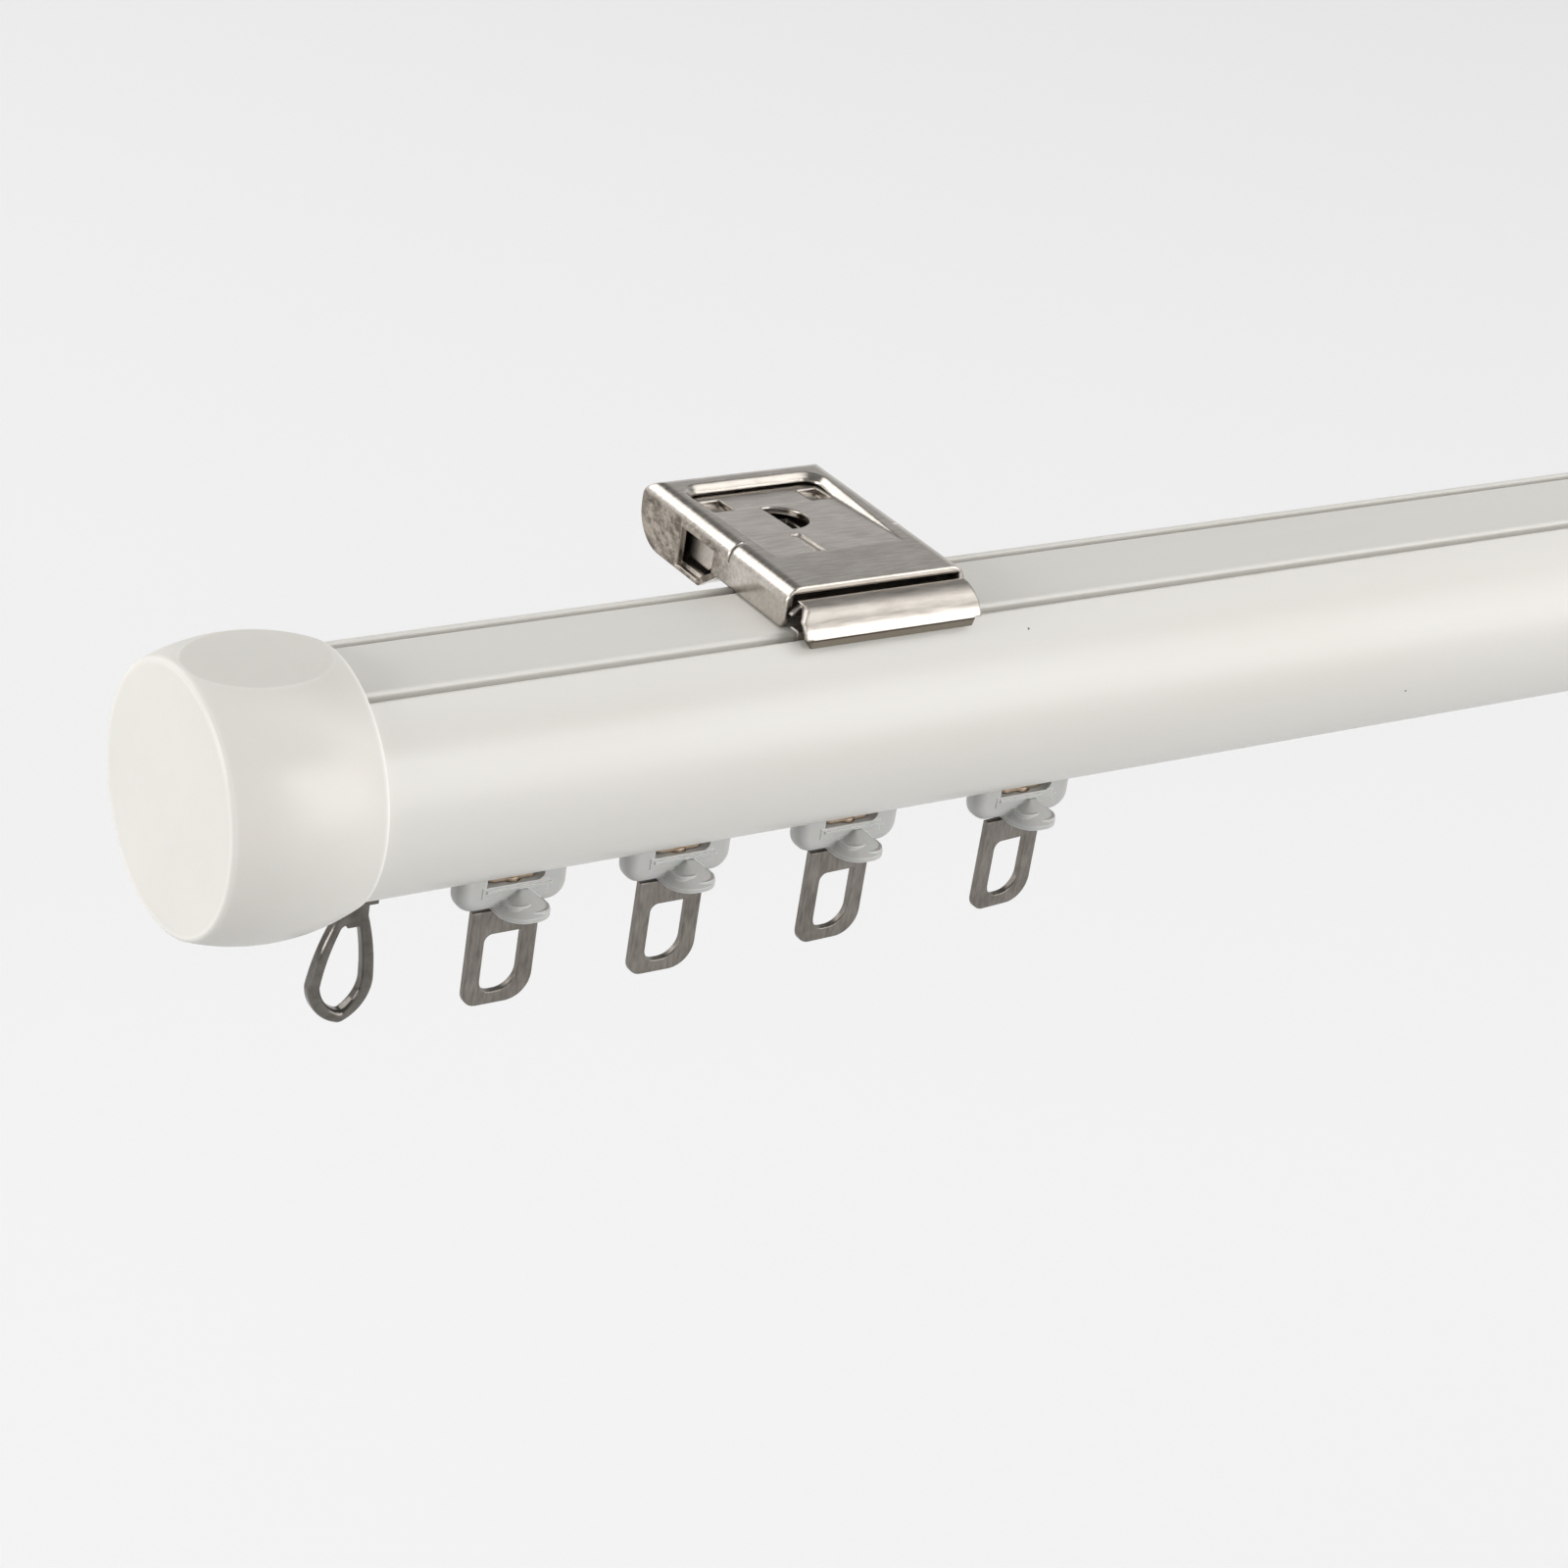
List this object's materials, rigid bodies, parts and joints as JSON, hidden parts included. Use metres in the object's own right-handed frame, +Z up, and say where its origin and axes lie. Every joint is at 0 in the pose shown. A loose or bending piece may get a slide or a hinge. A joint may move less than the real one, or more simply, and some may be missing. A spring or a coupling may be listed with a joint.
{
  "type": "curtain track",
  "caption": "Round ceiling-mounted curtain track with barrel end caps, clip-on steel brackets, end rings and wheeled runners with swivelling eyes",
  "frame": {"origin": "middle of the left bracket's ceiling face, straight above the rail's round axis", "axes": "+X along the track to the right, +Y to the back, +Z up to the ceiling"},
  "size_m": [0.6, 0.0425, 0.0498],
  "materials": {
    "rail_paint": "satin off-white paint on aluminium",
    "cap_plastic": "satin moulded",
    "stop_steel": "zinc plated",
    "ring_metal": "polished",
    "runner_plastic": "milky moulded",
    "wheel_plastic": "moulded",
    "axle_steel": "drawn",
    "eye_steel": "brushed",
    "bracket_steel": "nickel plated, brushed",
    "spring_steel": "drawn wire"
  },
  "bodies": {
    "track": {"rail": "rail_paint", "end_cap_left": "cap_plastic", "end_cap_right": "cap_plastic", "end_stop_nut_left": "stop_steel", "end_stop_nut_right": "stop_steel", "end_ring_left": "ring_metal", "end_ring_right": "ring_metal", "end_stop_screws": "stop_steel", "bracket_left_base": "bracket_steel", "bracket_right_base": "bracket_steel", "bracket_left_spring_left": "spring_steel", "bracket_left_spring_right": "spring_steel", "bracket_right_spring_left": "spring_steel", "bracket_right_spring_right": "spring_steel"},
    "runner_1": {"runner_1_body": "runner_plastic"},
    "wheelset_1": {"runner_1_axle": "axle_steel", "runner_1_wheel_front": "wheel_plastic", "runner_1_wheel_back": "wheel_plastic"},
    "eye_1": {"runner_1_eye": "eye_steel"},
    "runner_2": {"runner_2_body": "runner_plastic"},
    "wheelset_2": {"runner_2_axle": "axle_steel", "runner_2_wheel_front": "wheel_plastic", "runner_2_wheel_back": "wheel_plastic"},
    "eye_2": {"runner_2_eye": "eye_steel"},
    "runner_3": {"runner_3_body": "runner_plastic"},
    "wheelset_3": {"runner_3_axle": "axle_steel", "runner_3_wheel_front": "wheel_plastic", "runner_3_wheel_back": "wheel_plastic"},
    "eye_3": {"runner_3_eye": "eye_steel"},
    "runner_4": {"runner_4_body": "runner_plastic"},
    "wheelset_4": {"runner_4_axle": "axle_steel", "runner_4_wheel_front": "wheel_plastic", "runner_4_wheel_back": "wheel_plastic"},
    "eye_4": {"runner_4_eye": "eye_steel"},
    "latch_left": {"bracket_left_latch": "bracket_steel"},
    "latch_right": {"bracket_right_latch": "bracket_steel"}
  },
  "joints": [
    {"name": "runner_1_slide", "type": "slide", "parent": "track", "child": "runner_1", "axis": [1, 0, 0], "range_m": [-0.0092, 0.00375]},
    {"name": "runner_1_roll", "type": "hinge", "parent": "runner_1", "child": "wheelset_1", "pos_m": [-0.04055, 0, -0.02414], "axis": [0, 1, 0], "continuous": true},
    {"name": "runner_1_swivel", "type": "hinge", "parent": "runner_1", "child": "eye_1", "pos_m": [-0.04055, 0, -0.0377], "axis": [0, 0, 1], "continuous": true},
    {"name": "runner_2_slide", "type": "slide", "parent": "track", "child": "runner_2", "axis": [1, 0, 0], "range_m": [-0.00375, 0.0045]},
    {"name": "runner_2_roll", "type": "hinge", "parent": "runner_2", "child": "wheelset_2", "pos_m": [-0.01875, 0, -0.02414], "axis": [0, 1, 0], "continuous": true},
    {"name": "runner_2_swivel", "type": "hinge", "parent": "runner_2", "child": "eye_2", "pos_m": [-0.01875, 0, -0.0377], "axis": [0, 0, 1], "continuous": true},
    {"name": "runner_3_slide", "type": "slide", "parent": "track", "child": "runner_3", "axis": [1, 0, 0], "range_m": [-0.0045, 0.00555]},
    {"name": "runner_3_roll", "type": "hinge", "parent": "runner_3", "child": "wheelset_3", "pos_m": [0.00455, 0, -0.02414], "axis": [0, 1, 0], "continuous": true},
    {"name": "runner_3_swivel", "type": "hinge", "parent": "runner_3", "child": "eye_3", "pos_m": [0.00455, 0, -0.0377], "axis": [0, 0, 1], "continuous": true},
    {"name": "runner_4_slide", "type": "slide", "parent": "track", "child": "runner_4", "axis": [1, 0, 0], "range_m": [-0.00555, 0.45]},
    {"name": "runner_4_roll", "type": "hinge", "parent": "runner_4", "child": "wheelset_4", "pos_m": [0.02995, 0, -0.02414], "axis": [0, 1, 0], "continuous": true},
    {"name": "runner_4_swivel", "type": "hinge", "parent": "runner_4", "child": "eye_4", "pos_m": [0.02995, 0, -0.0377], "axis": [0, 0, 1], "continuous": true},
    {"name": "latch_left_release", "type": "slide", "parent": "track", "child": "latch_left", "axis": [0, -1, 0], "range_m": [0, 0.0005], "stiffness_N_per_m": 1000, "springref_m": -0.002, "deforming": ["bracket_left_spring_left", "bracket_left_spring_right"]},
    {"name": "latch_right_release", "type": "slide", "parent": "track", "child": "latch_right", "axis": [0, -1, 0], "range_m": [0, 0.0005], "stiffness_N_per_m": 1000, "springref_m": -0.002, "deforming": ["bracket_right_spring_left", "bracket_right_spring_right"]}
  ],
  "couplings": [
    {"joint": "runner_1_roll", "follows": "runner_1_slide", "rad_per_m": 250},
    {"joint": "runner_2_roll", "follows": "runner_2_slide", "rad_per_m": 250},
    {"joint": "runner_3_roll", "follows": "runner_3_slide", "rad_per_m": 250},
    {"joint": "runner_4_roll", "follows": "runner_4_slide", "rad_per_m": 250}
  ]
}
